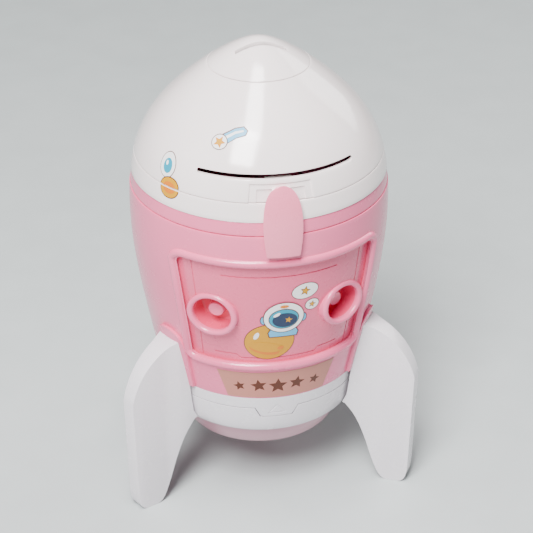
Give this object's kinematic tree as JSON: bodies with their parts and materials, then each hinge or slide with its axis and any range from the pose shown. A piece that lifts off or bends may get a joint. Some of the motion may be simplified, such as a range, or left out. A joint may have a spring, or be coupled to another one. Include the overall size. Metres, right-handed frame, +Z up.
{
  "type": "rocket money box",
  "caption": "Rocket-shaped coin bank on three fins, with a hinged nose lid, a coin slot, a banknote slot, a snap latch and two portholes.",
  "frame": {"origin": "on the floor, under the middle of the overall box", "axes": "+Z up along the rocket, front with the latch along -Y, +X to the right seen from behind"},
  "size_m": [0.1652, 0.167, 0.2603],
  "materials": {
    "pink_shell": "moulded gloss ABS",
    "white_shell": "moulded gloss ABS",
    "label_film": "printed vinyl film",
    "steel": "drawn steel"
  },
  "bodies": {
    "body": {"body_shell": "pink_shell", "top_ring": "pink_shell", "collar": "white_shell", "latch_catch": "pink_shell", "hinge_leaf_collar": "white_shell", "hinge_pin": "steel", "front_panel": "pink_shell", "front_frame": "pink_shell", "port_cup_left": "pink_shell", "port_cup_right": "pink_shell", "port_ring_left": "pink_shell", "port_ring_right": "pink_shell", "port_post_left": "pink_shell", "port_post_right": "pink_shell", "label_plate": "label_film", "upper_band": "white_shell", "lower_band": "white_shell", "base_plug": "pink_shell", "base_sleeve": "pink_shell", "fin_left": "white_shell", "fin_right": "white_shell", "fin_rear": "white_shell", "fin_socket_left": "pink_shell", "fin_socket_right": "pink_shell", "fin_socket_rear": "pink_shell", "fin_screws": "steel"},
    "lid": {"lid_dome": "white_shell", "nose_cap": "white_shell", "latch_mount": "white_shell", "latch_pin": "steel", "hinge_leaf_lid": "white_shell"},
    "latch": {"latch": "pink_shell"}
  },
  "joints": [
    {"name": "lid_hinge", "type": "hinge", "parent": "body", "child": "lid", "pos_m": [0, 0.0493, 0.2216], "axis": [-1, 0, 0], "range_deg": [0, 95]},
    {"name": "latch_pivot", "type": "hinge", "parent": "lid", "child": "latch", "pos_m": [0, -0.0739, 0.203], "axis": [-1, 0, 0], "range_deg": [0, 16]}
  ]
}
